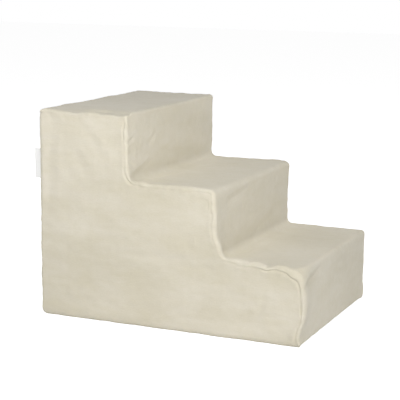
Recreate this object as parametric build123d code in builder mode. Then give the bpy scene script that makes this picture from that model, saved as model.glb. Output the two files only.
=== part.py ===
"""Three-step foam pet stairs in a sewn short-pile plush cover, closed by a zip across the back.

Millimetres. The steps climb from the front (+X) to the back (-X), +Y is to the right of
an animal that walks up, +Z is up, and the origin is the middle of the base on the floor.
"""

import math
import os

from build123d import *

# Overall sizes
length = 600
width = 450
low_tread_height = 162
middle_tread_height = 309
top_tread_height = 455
top_step_depth = 214
middle_step_depth = 196

# Cover fabric and foam
plush_thickness = 5
base_thickness = 1.5
clearance = 0.3
foam_edge_radius = 4
foam_base_edge_radius = 8

# Roundness of the covered stair, seen from the side, and of its side edges
bottom_radius = 12
front_nosing_radius = 8
middle_nosing_radius = 12
top_nosing_radius = 7
back_edge_radius = 15
inner_corner_radius = 6
side_edge_radius = 6

# Where the cover's panels meet
side_seam_inset = 8
back_seam_inset = 7
base_seam_inset = 14
seam_groove = 1.5
panel_corner_radius = 5
panel_front_corner_radius = 22
panel_inner_corner_radius = 14
overrun = 10

# Zip opening and tapes
zip_height = 50
slit_side_margin = 17
slit_margin = 0.9
slit_roll = 1.2
slit_roll_deg = 45
chain_end_gap = 15
tape_thickness = 0.6
tape_gap = 2
tape_width = 14
tape_tail = 6

# Zip teeth: each clamps its tape's edge and reaches past the middle between two of the other row
tooth_pitch = 4
tooth_thickness = 2.6
tooth_reach = 3.4
tooth_root_width = 1.9
tooth_neck_width = 1.3
tooth_tip_reach = 0.8
tooth_lock_reach = 0.45
tooth_play = 0.2
stop_length = 3
stop_inner_reach = 0.7
bottom_stop_length = 4
stop_wall = 0.4

# Zip slider and pull tab
slider_length = 13.5
slider_wall = 0.8
slider_flange = 0.9
slider_flare = 0.9
slider_nose_round = 2.2
slider_shoulder = 2.6
divider_length = 3.8
divider_width = 1.4
divider_setback = 0.4
bridge_width = 2.2
bridge_thickness = 1.4
bridge_post = 1.6
bridge_span = 4.8
bridge_round = 1.9
pull_bar_radius = 0.8
pull_thickness = 1.2
pull_eye_width = 5.5
pull_eye_length = 5.3
pull_rim = 1.4
pull_length = 27
pull_neck_width = 5
pull_neck_start = 9.2
pull_neck_end = 12
pull_grip_start = 15
pull_grip_width = 7.4
pull_corner_radius = 2
pull_recess_depth = 0.25
pull_recess_margin = 1.2
pull_droop_deg = 20

# Sewn-in label
label_drop = 87
label_length = 65
label_reach = 14
label_root = 4
label_fold_width = 1.4
label_layer = 0.4

# Sizes worked out from the ones above
back_x = -length / 2
front_x = length / 2
foam_x = back_x + plush_thickness + clearance
foam_width = width - 2 * (plush_thickness + clearance)
foam_step = plush_thickness + clearance
back_seam_y = width / 2 - back_seam_inset
slider_half_height = tooth_thickness / 2 + clearance + slider_wall
tape_x = foam_x - clearance - slider_half_height
tail_half_width = tooth_reach + clearance + slider_flange
nose_half_width = tail_half_width + slider_flare
slit_length = width - 2 * (back_seam_inset + slit_side_margin)
slit_height = 2 * (nose_half_width + slit_margin)
chain_length = slit_length - 2 * chain_end_gap
tape_length = slit_length + 2 * tape_tail
tooth_head_width = tooth_pitch - tooth_neck_width - 2 * tooth_play
teeth_per_row = int(chain_length / tooth_pitch)

os.makedirs("parts", exist_ok=True)


def stair_outline(inset, floor, back_inset):
    """Corners of the side view, with the treads, risers and front drawn in by inset."""
    back = back_x + back_inset
    front = front_x - inset
    top_riser = back_x + top_step_depth - inset
    middle_riser = top_riser + middle_step_depth
    low = low_tread_height - inset
    middle = middle_tread_height - inset
    top = top_tread_height - inset
    return [
        (back, floor),
        (front, floor),
        (front, low),
        (middle_riser, low),
        (middle_riser, middle),
        (top_riser, middle),
        (top_riser, top),
        (back, top),
    ]


# The covered stair as one closed form, hollow where the foam goes
with BuildPart() as cover_shell:
    with BuildSketch(Plane.XZ):
        with BuildLine():
            FilletPolyline(
                *stair_outline(0, 0, 0),
                radius=[
                    bottom_radius,
                    bottom_radius,
                    front_nosing_radius,
                    inner_corner_radius,
                    middle_nosing_radius,
                    inner_corner_radius,
                    top_nosing_radius,
                    back_edge_radius,
                ],
                close=True,
            )
        make_face()
    extrude(amount=width / 2, both=True)
    side_faces = cover_shell.faces().sort_by(Axis.Y)
    fillet(side_faces[0].edges() + side_faces[-1].edges(), side_edge_radius)
    with BuildSketch(Plane.XZ):
        with BuildLine():
            FilletPolyline(
                *stair_outline(plush_thickness, base_thickness, plush_thickness),
                radius=[
                    foam_base_edge_radius,
                    foam_base_edge_radius,
                    foam_edge_radius,
                    0,
                    foam_edge_radius,
                    0,
                    foam_edge_radius,
                    foam_edge_radius,
                ],
                close=True,
            )
        make_face()
    extrude(amount=width / 2 - plush_thickness, both=True, mode=Mode.SUBTRACT)

# What belongs to the left side panel: the side, its wrap onto the back and under the base
with BuildPart() as side_pattern:
    with BuildSketch(Plane.XZ.offset(width / 2 - back_seam_inset)):
        with BuildLine():
            FilletPolyline(
                *stair_outline(side_seam_inset, -overrun, -overrun),
                radius=[
                    0,
                    0,
                    panel_front_corner_radius,
                    panel_inner_corner_radius,
                    panel_corner_radius,
                    panel_inner_corner_radius,
                    panel_corner_radius,
                    0,
                ],
                close=True,
            )
        make_face()
    extrude(amount=back_seam_inset + overrun)
    with BuildSketch(Plane.XY.offset(-overrun)):
        wrap_length = length - base_seam_inset - side_seam_inset
        with Locations((back_x + base_seam_inset, -width / 2 - overrun)):
            Rectangle(wrap_length, base_seam_inset + overrun, align=(Align.MIN, Align.MIN))
    extrude(amount=overrun + base_thickness)

# The seam line of the side panel, where both plushes roll in to the stitches
with BuildPart() as seam_roll_in:
    with BuildSketch(Plane.XZ.offset(width / 2 - seam_groove)):
        with BuildLine():
            FilletPolyline(
                *stair_outline(side_seam_inset - seam_groove, -overrun, -overrun),
                radius=[
                    0,
                    0,
                    panel_front_corner_radius + seam_groove,
                    panel_inner_corner_radius - seam_groove,
                    panel_corner_radius + seam_groove,
                    panel_inner_corner_radius - seam_groove,
                    panel_corner_radius + seam_groove,
                    0,
                ],
                close=True,
            )
        make_face()
        with BuildLine():
            FilletPolyline(
                *stair_outline(side_seam_inset + seam_groove, -2 * overrun, -2 * overrun),
                radius=[
                    0,
                    0,
                    panel_front_corner_radius - seam_groove,
                    panel_inner_corner_radius + seam_groove,
                    panel_corner_radius - seam_groove,
                    panel_inner_corner_radius + seam_groove,
                    panel_corner_radius - seam_groove,
                    0,
                ],
                close=True,
            )
        make_face(mode=Mode.SUBTRACT)
    extrude(amount=seam_groove + overrun)

# What belongs to the back, and the part of it that the zip keeps free
with BuildPart() as back_pattern:
    with BuildSketch(Plane.XY.offset(-overrun)):
        with Locations((back_x - overrun, 0)):
            Rectangle(base_seam_inset + overrun, 2 * back_seam_y, align=(Align.MIN, Align.CENTER))
    extrude(amount=overrun + top_tread_height - side_seam_inset)

back_plane = Plane(origin=(back_x, 0, zip_height), x_dir=(0, -1, 0), z_dir=(-1, 0, 0))
zip_plane = Plane(origin=(tape_x, 0, zip_height), x_dir=(0, -1, 0), z_dir=(-1, 0, 0))

with BuildPart() as zip_slit:
    with BuildSketch(back_plane):
        SlotOverall(slit_length, slit_height)
    extrude(amount=overrun, both=True)
    with BuildSketch(back_plane):
        SlotOverall(slit_length + 2 * slit_roll, slit_height + 2 * slit_roll)
    extrude(amount=-slit_roll, taper=slit_roll_deg)

with BuildPart() as zip_tape_upper:
    with BuildSketch(zip_plane):
        with Locations((0, tape_gap / 2)):
            Rectangle(tape_length, tape_width, align=(Align.CENTER, Align.MIN))
    extrude(amount=tape_thickness / 2, both=True)
zip_tape_upper.part.label = "zip_tape_upper"
export_step(zip_tape_upper.part, "parts/zip_tape_upper.step")

with BuildPart() as zip_tape_lower:
    mirror(zip_tape_upper.part, about=Plane.XY.offset(zip_height))
zip_tape_lower.part.label = "zip_tape_lower"
export_step(zip_tape_lower.part, "parts/zip_tape_lower.step")

# Woven label, folded once, its two ends caught in the left back seam
label_plane = Plane((back_x, -back_seam_y, top_tread_height - label_drop - label_length))
fold_radius = label_fold_width / 2
with BuildPart() as label_space:
    with BuildSketch(label_plane):
        with Locations((label_root, 0)):
            Rectangle(
                label_root + label_reach - fold_radius,
                label_fold_width,
                align=(Align.MAX, Align.CENTER),
            )
        with Locations((fold_radius - label_reach, 0)):
            Circle(fold_radius)
    extrude(amount=label_length)

with BuildPart() as label_tag:
    add(label_space.part)
    with BuildSketch(label_plane):
        with Locations((label_root, 0)):
            Rectangle(
                label_root + label_reach - fold_radius,
                label_fold_width - 2 * label_layer,
                align=(Align.MAX, Align.CENTER),
            )
        with Locations((fold_radius - label_reach, 0)):
            Circle(fold_radius - label_layer)
    extrude(amount=label_length, mode=Mode.SUBTRACT)
label_tag.part.label = "label_tag"
export_step(label_tag.part, "parts/label_tag.step")

# Side panels, sewn inside the step strip and turned round the back and base edges
with BuildPart() as side_form:
    add(cover_shell.part)
    add(side_pattern.part, mode=Mode.INTERSECT)
    add(seam_roll_in.part, mode=Mode.SUBTRACT)

with BuildPart() as side_panel_left:
    add(side_form.part)
    add(label_space.part, mode=Mode.SUBTRACT)
side_panel_left.part.label = "side_panel_left"
export_step(side_panel_left.part, "parts/side_panel_left.step")

with BuildPart() as side_panel_right:
    mirror(side_form.part, about=Plane.XZ)
side_panel_right.part.label = "side_panel_right"
export_step(side_panel_right.part, "parts/side_panel_right.step")

# Back panels, above and below the zip
with BuildPart() as back_form:
    add(cover_shell.part)
    add(back_pattern.part, mode=Mode.INTERSECT)
    add(zip_slit.part, mode=Mode.SUBTRACT)

with BuildPart() as back_panel_upper:
    add(back_form.part)
    split(bisect_by=Plane.XY.offset(zip_height), keep=Keep.TOP)
    add(zip_tape_upper.part, mode=Mode.SUBTRACT)
    add(label_space.part, mode=Mode.SUBTRACT)
back_panel_upper.part.label = "back_panel_upper"
export_step(back_panel_upper.part, "parts/back_panel_upper.step")

with BuildPart() as back_panel_lower:
    add(back_form.part)
    add(side_pattern.part, mode=Mode.SUBTRACT)
    mirror(side_pattern.part, about=Plane.XZ, mode=Mode.SUBTRACT)
    split(bisect_by=Plane.XY.offset(zip_height), keep=Keep.BOTTOM)
    add(zip_tape_lower.part, mode=Mode.SUBTRACT)
back_panel_lower.part.label = "back_panel_lower"
export_step(back_panel_lower.part, "parts/back_panel_lower.step")

# Non-slip base fabric, flat on the floor
with BuildPart() as base_panel:
    with BuildSketch(Plane.XY):
        Rectangle(length - 2 * base_seam_inset, width - 2 * base_seam_inset)
    extrude(amount=base_thickness)
base_panel.part.label = "base_panel"
export_step(base_panel.part, "parts/base_panel.step")

# One strip of plush over the top, every riser and tread and the front
with BuildPart() as step_strip:
    add(cover_shell.part)
    add(side_pattern.part, mode=Mode.SUBTRACT)
    mirror(side_pattern.part, about=Plane.XZ, mode=Mode.SUBTRACT)
    add(seam_roll_in.part, mode=Mode.SUBTRACT)
    mirror(seam_roll_in.part, about=Plane.XZ, mode=Mode.SUBTRACT)
    add(back_pattern.part, mode=Mode.SUBTRACT)
    with BuildSketch(Plane.XY.offset(-overrun)):
        Rectangle(length - 2 * base_seam_inset, width - 2 * base_seam_inset)
    extrude(amount=2 * overrun, mode=Mode.SUBTRACT)
step_strip.part.label = "step_strip"
export_step(step_strip.part, "parts/step_strip.step")

# Foam slabs, glued one on another
with BuildPart() as foam_block_base:
    with BuildSketch(Plane.XZ):
        with BuildLine():
            FilletPolyline(
                (foam_x, base_thickness),
                (-foam_x, base_thickness),
                (-foam_x, low_tread_height - foam_step),
                (foam_x, low_tread_height - foam_step),
                radius=[foam_base_edge_radius, foam_base_edge_radius, foam_edge_radius, 0],
                close=True,
            )
        make_face()
    extrude(amount=foam_width / 2, both=True)
foam_block_base.part.label = "foam_block_base"
export_step(foam_block_base.part, "parts/foam_block_base.step")

with BuildPart() as foam_block_middle:
    with BuildSketch(Plane.XZ):
        middle_front = back_x + top_step_depth + middle_step_depth - foam_step
        with BuildLine():
            FilletPolyline(
                (foam_x, low_tread_height - foam_step),
                (middle_front, low_tread_height - foam_step),
                (middle_front, middle_tread_height - foam_step),
                (foam_x, middle_tread_height - foam_step),
                radius=[0, 0, foam_edge_radius, 0],
                close=True,
            )
        make_face()
    extrude(amount=foam_width / 2, both=True)
foam_block_middle.part.label = "foam_block_middle"
export_step(foam_block_middle.part, "parts/foam_block_middle.step")

with BuildPart() as foam_block_top:
    with BuildSketch(Plane.XZ):
        top_front = back_x + top_step_depth - foam_step
        with BuildLine():
            FilletPolyline(
                (foam_x, middle_tread_height - foam_step),
                (top_front, middle_tread_height - foam_step),
                (top_front, top_tread_height - foam_step),
                (foam_x, top_tread_height - foam_step),
                radius=[0, 0, foam_edge_radius, foam_edge_radius],
                close=True,
            )
        make_face()
    extrude(amount=foam_width / 2, both=True)
foam_block_top.part.label = "foam_block_top"
export_step(foam_block_top.part, "parts/foam_block_top.step")

# Moulded zip teeth: a root that clamps the tape, a narrow neck and a wide locking head
first_tooth = -chain_length / 2
with BuildPart() as upper_tooth:
    with BuildSketch(zip_plane):
        with BuildLine():
            Polyline(
                (-tooth_root_width / 2, tooth_reach),
                (-tooth_neck_width / 2, tooth_lock_reach),
                (-tooth_head_width / 2, -tooth_tip_reach),
                (tooth_head_width / 2, -tooth_tip_reach),
                (tooth_neck_width / 2, tooth_lock_reach),
                (tooth_root_width / 2, tooth_reach),
                close=True,
            )
        make_face()
    extrude(amount=tooth_thickness / 2, both=True)
    add(zip_tape_upper.part, mode=Mode.SUBTRACT)

with BuildPart() as lower_tooth:
    mirror(upper_tooth.part, about=Plane.XY.offset(zip_height))

with BuildPart() as zip_teeth_upper:
    with Locations(*[(0, -first_tooth - i * tooth_pitch) for i in range(teeth_per_row)]):
        add(upper_tooth.part)
zip_teeth_upper.part.label = "zip_teeth_upper"
export_step(zip_teeth_upper.part, "parts/zip_teeth_upper.step")

with BuildPart() as zip_teeth_lower:
    with Locations(*[(0, -first_tooth - (i + 1 / 2) * tooth_pitch) for i in range(teeth_per_row)]):
        add(lower_tooth.part)
zip_teeth_lower.part.label = "zip_teeth_lower"
export_step(zip_teeth_lower.part, "parts/zip_teeth_lower.step")

# Slider, closed end: its nose stands against the top stops, its divider clear of the first tooth
divider_tip = first_tooth - tooth_head_width / 2 - clearance
nose_end = divider_tip - divider_length - divider_setback
tail_end = nose_end + slider_length
bridge_centre = (nose_end + tail_end) / 2
bar_depth = max(slider_half_height + pull_bar_radius, tape_x - back_x + pull_thickness / 2) + clearance
bridge_inner_depth = bar_depth + pull_bar_radius + clearance
slider_side_plane = Plane(origin=(tape_x, 0, zip_height), x_dir=(0, -1, 0), z_dir=(0, 0, -1))

with BuildPart() as zip_slider_body:
    with BuildSketch(zip_plane):
        with BuildLine():
            FilletPolyline(
                (nose_end, -nose_half_width),
                (nose_end + slider_shoulder, -nose_half_width),
                (bridge_centre + slider_shoulder, -tail_half_width),
                (tail_end, -tail_half_width),
                (tail_end, tail_half_width),
                (bridge_centre + slider_shoulder, tail_half_width),
                (nose_end + slider_shoulder, nose_half_width),
                (nose_end, nose_half_width),
                radius=[
                    slider_nose_round,
                    slider_nose_round,
                    slider_nose_round,
                    slider_flange,
                    slider_flange,
                    slider_nose_round,
                    slider_nose_round,
                    slider_nose_round,
                ],
                close=True,
            )
        make_face()
    extrude(amount=slider_half_height, both=True)
    with BuildSketch(zip_plane):
        with BuildLine():
            Polyline(
                (nose_end - overrun, slider_flange - nose_half_width),
                (nose_end + slider_shoulder, slider_flange - nose_half_width),
                (bridge_centre + slider_shoulder, slider_flange - tail_half_width),
                (tail_end + overrun, slider_flange - tail_half_width),
                (tail_end + overrun, tail_half_width - slider_flange),
                (bridge_centre + slider_shoulder, tail_half_width - slider_flange),
                (nose_end + slider_shoulder, nose_half_width - slider_flange),
                (nose_end - overrun, nose_half_width - slider_flange),
                close=True,
            )
        make_face()
    extrude(amount=slider_half_height - slider_wall, both=True, mode=Mode.SUBTRACT)
    with BuildSketch(zip_plane):
        with Locations((bridge_centre, 0)):
            Rectangle(slider_length + 2 * overrun, 2 * (nose_half_width + overrun))
    extrude(amount=tape_thickness / 2 + clearance, both=True, mode=Mode.SUBTRACT)
    with BuildSketch(zip_plane):
        with BuildLine():
            divider_start = nose_end + divider_setback
            Polyline(
                (divider_start, -divider_width / 2),
                (divider_start + divider_length / 2, -divider_width / 2),
                (divider_tip, 0),
                (divider_start + divider_length / 2, divider_width / 2),
                (divider_start, divider_width / 2),
                close=True,
            )
        make_face()
    extrude(amount=slider_half_height - slider_wall / 2, both=True)
    with BuildSketch(slider_side_plane):
        with Locations((bridge_centre, slider_half_height - slider_wall / 2)):
            bridge_height = bridge_inner_depth + bridge_thickness - slider_half_height + slider_wall / 2
            Rectangle(bridge_span + 2 * bridge_post, bridge_height, align=(Align.CENTER, Align.MIN))
    extrude(amount=bridge_width / 2, both=True)
    bridge_top = zip_slider_body.faces().sort_by(Axis.X)[0]
    fillet(bridge_top.edges().filter_by(Axis.Z), bridge_round)
    with BuildSketch(slider_side_plane):
        with Locations((bridge_centre, slider_half_height)):
            post_height = bridge_inner_depth - slider_half_height
            Rectangle(bridge_span, post_height, align=(Align.CENTER, Align.MIN))
    extrude(amount=bridge_width, both=True, mode=Mode.SUBTRACT)
zip_slider_body.part.label = "zip_slider_body"
export_step(zip_slider_body.part, "parts/zip_slider_body.step")

# Pull tab: a round bar under the slider's bridge, an eye round one bridge post, and a grip
droop = math.radians(pull_droop_deg)
tab_plane = Plane(
    origin=(tape_x - bar_depth, -bridge_centre, zip_height),
    x_dir=(0, -math.cos(droop), -math.sin(droop)),
    z_dir=(-1, 0, 0),
)
eye_half_width = pull_eye_width / 2 + pull_rim

with BuildPart() as zip_pull_tab:
    with BuildSketch(tab_plane) as tab_outline:
        with BuildLine():
            FilletPolyline(
                (0, -eye_half_width),
                (pull_eye_length + pull_rim, -eye_half_width),
                (pull_neck_start, -pull_neck_width / 2),
                (pull_neck_end, -pull_neck_width / 2),
                (pull_grip_start, -pull_grip_width / 2),
                (pull_length, -pull_grip_width / 2),
                (pull_length, pull_grip_width / 2),
                (pull_grip_start, pull_grip_width / 2),
                (pull_neck_end, pull_neck_width / 2),
                (pull_neck_start, pull_neck_width / 2),
                (pull_eye_length + pull_rim, eye_half_width),
                (0, eye_half_width),
                radius=[0, *[pull_corner_radius] * 10, 0],
                close=True,
            )
        make_face()
        with Locations((pull_eye_length / 2, 0)):
            Rectangle(pull_eye_length, pull_eye_width, mode=Mode.SUBTRACT)
    extrude(amount=pull_thickness / 2, both=True)
    with BuildSketch(tab_plane.offset(pull_thickness / 2)):
        recess_length = pull_length - pull_grip_start - 2 * pull_recess_margin
        recess_width = pull_grip_width - 2 * pull_recess_margin
        with Locations(((pull_grip_start + pull_length) / 2, 0)):
            RectangleRounded(recess_length, recess_width, pull_corner_radius - pull_recess_margin)
    extrude(amount=-pull_recess_depth, mode=Mode.SUBTRACT)
    with BuildSketch(Plane(origin=tab_plane.origin, x_dir=tab_plane.x_dir, z_dir=tab_plane.y_dir)):
        Circle(pull_bar_radius)
    extrude(amount=eye_half_width, both=True)
zip_pull_tab.part.label = "zip_pull_tab"
export_step(zip_pull_tab.part, "parts/zip_pull_tab.step")

# Stops: a clip on each tape at the closed end, and one across both tapes at the open end
with BuildPart() as zip_top_stops:
    with BuildSketch(zip_plane):
        stop_height = tooth_reach - stop_inner_reach
        stop_middle = nose_end - clearance - stop_length / 2
        for side in (-1, 1):
            with Locations((stop_middle, side * (tooth_reach - stop_height / 2))):
                Rectangle(stop_length, stop_height)
    extrude(amount=tape_thickness / 2 + stop_wall + clearance, both=True)
    add(zip_tape_upper.part, mode=Mode.SUBTRACT)
    add(zip_tape_lower.part, mode=Mode.SUBTRACT)
zip_top_stops.part.label = "zip_top_stops"
export_step(zip_top_stops.part, "parts/zip_top_stops.step")

last_tooth = first_tooth + (teeth_per_row - 1 / 2) * tooth_pitch
bottom_stop_start = last_tooth + tooth_head_width / 2 + clearance
with BuildPart() as zip_bottom_stop:
    with BuildSketch(zip_plane):
        with Locations((bottom_stop_start, 0)):
            Rectangle(bottom_stop_length, 2 * tooth_reach, align=(Align.MIN, Align.CENTER))
    extrude(amount=tooth_thickness / 2 + stop_wall, both=True)
    add(zip_tape_upper.part, mode=Mode.SUBTRACT)
    add(zip_tape_lower.part, mode=Mode.SUBTRACT)
zip_bottom_stop.part.label = "zip_bottom_stop"
export_step(zip_bottom_stop.part, "parts/zip_bottom_stop.step")

slider_travel = bottom_stop_start - clearance - tail_end
print("slider travel", round(slider_travel, 3))
print("pull axis through", [round(value, 3) for value in tab_plane.origin])
print("pull axis direction", [round(-value, 5) for value in tab_plane.y_dir])
print("teeth per row", teeth_per_row)
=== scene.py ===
import math

import bmesh
import bpy
import numpy as np
from mathutils import Matrix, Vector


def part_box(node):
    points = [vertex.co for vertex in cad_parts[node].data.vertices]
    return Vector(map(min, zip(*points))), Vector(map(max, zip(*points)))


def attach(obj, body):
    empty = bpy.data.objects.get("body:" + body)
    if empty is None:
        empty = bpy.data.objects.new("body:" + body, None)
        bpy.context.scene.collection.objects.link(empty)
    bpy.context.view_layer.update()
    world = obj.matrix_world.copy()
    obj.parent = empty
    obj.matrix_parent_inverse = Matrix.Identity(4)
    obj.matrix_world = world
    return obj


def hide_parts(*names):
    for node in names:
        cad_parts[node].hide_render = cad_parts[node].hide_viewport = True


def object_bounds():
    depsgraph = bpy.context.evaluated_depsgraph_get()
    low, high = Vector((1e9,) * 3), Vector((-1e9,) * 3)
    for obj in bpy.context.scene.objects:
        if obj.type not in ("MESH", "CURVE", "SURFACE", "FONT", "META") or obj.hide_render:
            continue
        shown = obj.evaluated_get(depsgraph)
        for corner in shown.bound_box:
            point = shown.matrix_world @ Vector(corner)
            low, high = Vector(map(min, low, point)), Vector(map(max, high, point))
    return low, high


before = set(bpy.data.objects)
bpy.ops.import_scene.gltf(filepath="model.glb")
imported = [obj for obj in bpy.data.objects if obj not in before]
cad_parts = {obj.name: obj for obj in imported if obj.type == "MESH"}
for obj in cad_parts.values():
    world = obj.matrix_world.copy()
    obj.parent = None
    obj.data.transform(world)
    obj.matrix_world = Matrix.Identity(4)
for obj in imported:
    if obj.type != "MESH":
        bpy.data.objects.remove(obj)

cad_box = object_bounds()


# Foam core: three slabs of cut upholstery foam, one for each step, glued flat on one another.
# The knife leaves their long upper edges slightly rounded and their cut faces open-celled.
foam_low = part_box("foam_block_base")
foam_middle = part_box("foam_block_middle")
foam_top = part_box("foam_block_top")
foam_edge, foam_foot_edge, foam_head_edge = 0.004, 0.012, 0.022
foam_least_edge, foam_end_gap = 0.0004, 0.0015
foam_corner_count, foam_press_count, foam_end_shares = 5, 7, [0.0, 0.5, 0.985]
foot_lean, foot_height = 0.0055, 0.030
foam_colour = (0.80, 0.74, 0.58)
foam_cell = 0.0011
# Painted shade in the pores as a share of the colour, and the pores' depth
painted_pore_shade, pore_depth = 0.72, 0.4 * foam_cell


def arc_points(centre, radius, start, end, count):
    """Points on a circle: centre plus radius times the cosine and sine of evenly spaced angles."""
    angle = np.linspace(start, end, count)
    return np.array(centre) + radius * np.stack([np.cos(angle), np.sin(angle)], axis=1)


def numbered(points):
    """The number of every point of a grid, row by row."""
    return np.arange(points[..., 0].size).reshape(points.shape[:2])


def quads(index):
    """Quads between neighbours of a grid of point numbers."""
    corners = [index[:-1, :-1], index[1:, :-1], index[1:, 1:], index[:-1, 1:]]
    return np.stack(corners, axis=-1).reshape(-1, 4)


def ring_faces(points):
    """Quads between neighbours of a grid of points whose last row joins its first."""
    index = numbered(points)
    return quads(np.vstack([index, index[:1]]))


def lean_in(points):
    """Near the floor the tight cover draws foam and plush in towards the middle: y shrinks by a
    share that grows as the square of the depth below the foot's height."""
    points = np.reshape(points, (-1, 3)).copy()
    depth = np.clip(1 - points[:, 2] / foot_height, 0, 1)
    points[:, 1] *= 1 - foot_lean / cad_box[1][1] * depth**2
    return points


def make_piece(name, points, faces, material, merge=0.0, smooth=True, tones=None):
    """A mesh object at the origin from points and faces, riding on the stairs' body. Tones, one for each
    point, are kept as its point attribute of tone and painted shade."""
    mesh = bpy.data.meshes.new(name)
    mesh.from_pydata(lean_in(points).tolist(), [], [list(map(int, f)) for f in faces])
    if tones is not None:
        attribute = mesh.attributes.new("plush_tone_and_painted_shade", "FLOAT", "POINT")
        attribute.data.foreach_set("value", np.ravel(tones).astype(np.float32))
    work = bmesh.new()
    work.from_mesh(mesh)
    if merge:
        bmesh.ops.remove_doubles(work, verts=work.verts, dist=merge)
    bmesh.ops.recalc_face_normals(work, faces=work.faces)
    work.to_mesh(mesh)
    work.free()
    mesh.polygons.foreach_set("use_smooth", [smooth] * len(mesh.polygons))
    mesh.materials.append(material)
    piece = bpy.data.objects.new(name, mesh)
    bpy.context.scene.collection.objects.link(piece)
    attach(piece, "stairs")
    return piece


def new_material(name, colour, roughness):
    """A material with a Principled shader, and the shader, its nodes and its links."""
    material = bpy.data.materials.new(name)
    material.use_nodes = True
    nodes, links = material.node_tree.nodes, material.node_tree.links
    shader = nodes["Principled BSDF"]
    shader.inputs["Base Color"].default_value = (*colour, 1)
    shader.inputs["Roughness"].default_value = roughness
    return material, shader, nodes, links


def add_node(nodes, kind, **values):
    """A shader node of a kind, with the given values on its inputs."""
    node = nodes.new(f"ShaderNode{kind}")
    for name, value in values.items():
        node.inputs[name].default_value = value
    return node


def foam_material():
    """Open-celled foam: a cell pattern dents the surface and paints shade into the pores."""
    material, shader, nodes, links = new_material("upholstery_foam", foam_colour, roughness=0.95)
    place = add_node(nodes, "TexCoord")
    cells = add_node(nodes, "TexVoronoi", Scale=1 / foam_cell)
    links.new(place.outputs["Object"], cells.inputs["Vector"])
    # Painted shade: the pores darker than the cell faces
    tone = add_node(nodes, "ValToRGB")
    pore, face = tone.color_ramp.elements
    pore.color = (*(painted_pore_shade * c for c in foam_colour), 1)
    face.color = (*foam_colour, 1)
    face.position = 0.5
    links.new(cells.outputs["Distance"], tone.inputs["Fac"])
    links.new(tone.outputs["Color"], shader.inputs["Base Color"])
    bump = add_node(nodes, "Bump", Distance=pore_depth)
    links.new(cells.outputs["Distance"], bump.inputs["Height"])
    links.new(bump.outputs["Normal"], shader.inputs["Normal"])
    return material


def foam_slab(low, high, bottom_radius, top_back_radius, foot_radius, head_radius):
    """A rectangle with rounded corners carried across the stairs, closed by flat cut ends of
    smaller and smaller rings. Near the ends its underside rises, and its upper side falls, where
    the cover presses on it, along quarter circles."""
    (x0, y0, z0), (x1, y1, z1) = low, high
    radii = np.maximum([bottom_radius, bottom_radius, foam_edge, top_back_radius], foam_least_edge)
    corners = [(x0, z0, 1, 1), (x1, z0, -1, 1), (x1, z1, -1, -1), (x0, z1, 1, -1)]
    loop = []
    for k, ((x, z, way_x, way_z), radius) in enumerate(zip(corners, radii)):
        start = math.pi + k * math.pi / 2
        centre = (x + way_x * radius, z + way_z * radius)
        loop.append(arc_points(centre, radius, start, start + math.pi / 2, foam_corner_count))
    loop = np.concatenate(loop)
    turn = np.linspace(0, math.pi / 2, foam_press_count)
    round_off = max(foot_radius, head_radius) * (1 - np.cos(turn))
    inward = np.concatenate([np.zeros(len(foam_end_shares)), foam_end_gap + round_off])
    shares = np.concatenate([foam_end_shares, np.ones(len(turn))])
    pressed = np.concatenate([np.ones(len(foam_end_shares)), 1 - np.sin(turn)])
    shares, pressed = (np.concatenate([half, half[::-1]])[:, None] for half in (shares, pressed))
    middle = loop.mean(axis=0)
    rings = middle + shares[..., None] * (loop - middle)
    points = np.empty((len(shares), len(loop), 3))
    points[..., 0] = rings[..., 0]
    points[..., 1] = np.concatenate([y0 + inward, y1 - inward[::-1]])[:, None]
    points[..., 2] = np.clip(rings[..., 1], z0 + foot_radius * pressed, z1 - head_radius * pressed)
    return points.transpose(1, 0, 2)


foam_finish = foam_material()
for name, (low, high), *radii in (
    ("foam_slab_base", foam_low, 2 * foam_edge, 0, foam_foot_edge, 0),
    ("foam_slab_middle", foam_middle, 0, 0, 0, 0),
    ("foam_slab_top", foam_top, 0, foam_edge, 0, foam_head_edge),
):
    grid = foam_slab(low, high, *radii)
    faces = ring_faces(grid)
    slab = make_piece(name, grid, faces, foam_finish, merge=1e-6, smooth=False)
    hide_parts(name.replace("slab", "block"))


# Step strip: one long piece of short-pile plush over the top, every riser and tread and the
# front. It turns down over both side edges, where it is sewn inside out to the side panels.
front_x, half_width, top_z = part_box("step_strip")[1]
back_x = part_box("back_panel_upper")[0][0]
cover_depth = top_z - foam_top[1][2]
riser_top_x = foam_top[1][0] + cover_depth
riser_low_x = foam_middle[1][0] + cover_depth
tread_middle_z = foam_middle[1][2] + cover_depth
tread_low_z = foam_low[1][2] + cover_depth
seam_inset = top_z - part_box("side_panel_left")[1][2]
plush_depth = cover_depth - 0.0006
edge_radius, roll_radius = 0.010, 0.009
floor_radius, back_radius = 0.012, 0.020
outline_radii = [0.007, 0.013, 0.012, 0.013, 0.008]
left_edge_radii = [0.007, 0.018, 0.012, 0.055, 0.020]
left_seam_radii = [0.005, 0.032, 0.007, 0.064, 0.030]
right_seam_radii = [0.005, 0.014, 0.005, 0.014, 0.022]
left_seam_insets = np.array([8, 8, 8, 9, 9, 8]) / 1000
edge_follow, seam_hem, least_band, roll_share = 0.8, 0.0004, 0.0006, 0.85
strip_counts, strip_arc_count = [66, 48, 64, 48, 64, 52], 10
end_calm, foot_calm, foot_overlap = 0.05, 0.03, 0.0015
edge_reach, tread_reach = 0.055, 0.026
ridge_height, ridge_place, ridge_spread = 0.0018, 0.0062, 0.0050
groove_depth, groove_spread = 0.0021, 0.0022
pucker_heights, pucker_lengths, pucker_reach = (0.0005, 0.0004), (0.011, 0.019), 0.010
share_wave, share_limits, low_roll = (0.035, 41), (0.2, 1.8), 0.75
band_shares = np.array([0.0, 0.1, 0.22, 0.36, 0.52, 0.7, 0.86])
fine_steps = np.array([0.0, 0.8, 1.6, 2.6, 3.8, 5.2, 6.8, 8.6, 10.6, 13.0, 16.0]) / 1000
edge_steps = np.concatenate([fine_steps, [0.021, 0.027]])
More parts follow.
